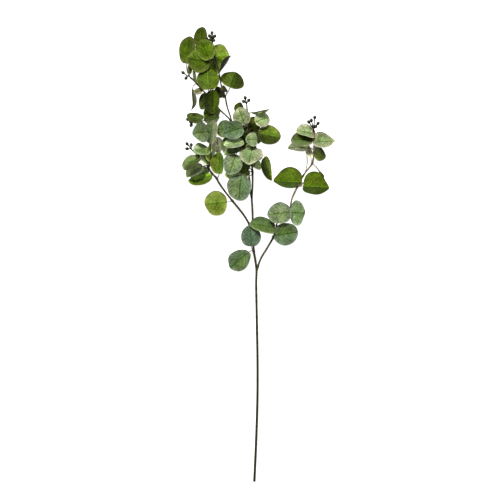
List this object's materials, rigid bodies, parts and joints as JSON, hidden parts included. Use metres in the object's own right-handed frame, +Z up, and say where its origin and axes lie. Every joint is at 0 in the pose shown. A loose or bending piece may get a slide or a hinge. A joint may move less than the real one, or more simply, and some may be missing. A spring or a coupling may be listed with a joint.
{
  "type": "eucalyptus branch",
  "caption": "Cut branch with a long bare stalk that forks into leafy twigs of round, coin-like leaves, with small buds at the tips, lying flat.",
  "frame": {"origin": "middle of the branch's outline seen from above, on the surface that it lies on", "axes": "+Y along the stalk from its cut end to the leafy tip, +X to the right when the branch is seen from above with its tip away from the viewer, +Z up from the surface"},
  "size_m": [0.313, 0.9119, 0.0711],
  "materials": {
    "stalk": "matt",
    "right_twig": "matt",
    "left_twig": "matt",
    "middle_left_twig": "matt",
    "centre_twig": "matt",
    "top_twig": "matt",
    "top_left_twig": "matt",
    "right_buds": "matt",
    "left_buds": "matt",
    "middle_left_buds": "matt",
    "centre_buds": "matt",
    "top_buds": "matt",
    "top_left_buds": "matt"
  },
  "bodies": {
    "root": {"stalk": "stalk", "right_twig": "right_twig", "left_twig": "left_twig", "middle_left_twig": "middle_left_twig", "centre_twig": "centre_twig", "top_twig": "top_twig", "top_left_twig": "top_left_twig", "right_buds": "right_buds", "left_buds": "left_buds", "middle_left_buds": "middle_left_buds", "centre_buds": "centre_buds", "top_buds": "top_buds", "top_left_buds": "top_left_buds"}
  },
  "joints": []
}
